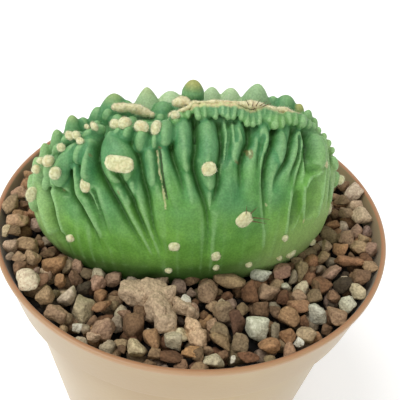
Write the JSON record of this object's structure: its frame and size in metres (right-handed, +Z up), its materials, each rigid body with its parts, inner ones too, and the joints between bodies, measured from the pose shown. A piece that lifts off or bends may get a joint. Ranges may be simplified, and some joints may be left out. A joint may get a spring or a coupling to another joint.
{
  "type": "potted crested cactus",
  "caption": "Crested lobivia cactus with pleated ribs and a woolly crest, in a round plastic nursery pot topped with mineral gravel.",
  "frame": {"origin": "centre of the pot's foot, on the surface it stands on", "axes": "+Z up along the pot's axis; the plant's broad side faces -Y and its crest runs roughly along X"},
  "size_m": [0.12, 0.12, 0.1475],
  "materials": {
    "pot_plastic": "thin terracotta-coloured moulded plastic, slightly translucent",
    "gravel": "rough lava and pumice grains in browns and greys",
    "pumice": "rough porous pinkish tan pumice",
    "tan_rock": "rough tan rock",
    "cactus_skin": "smooth waxy skin, blue-green on the ribs and yellow-green low on the flank",
    "wool": "short cream felt"
  },
  "bodies": {
    "root": {"pot": "pot_plastic", "gravel_bed": "gravel", "pumice_chunk": "pumice", "tan_stone": "tan_rock", "cactus": "cactus_skin", "crest_wool": "wool"}
  },
  "joints": []
}
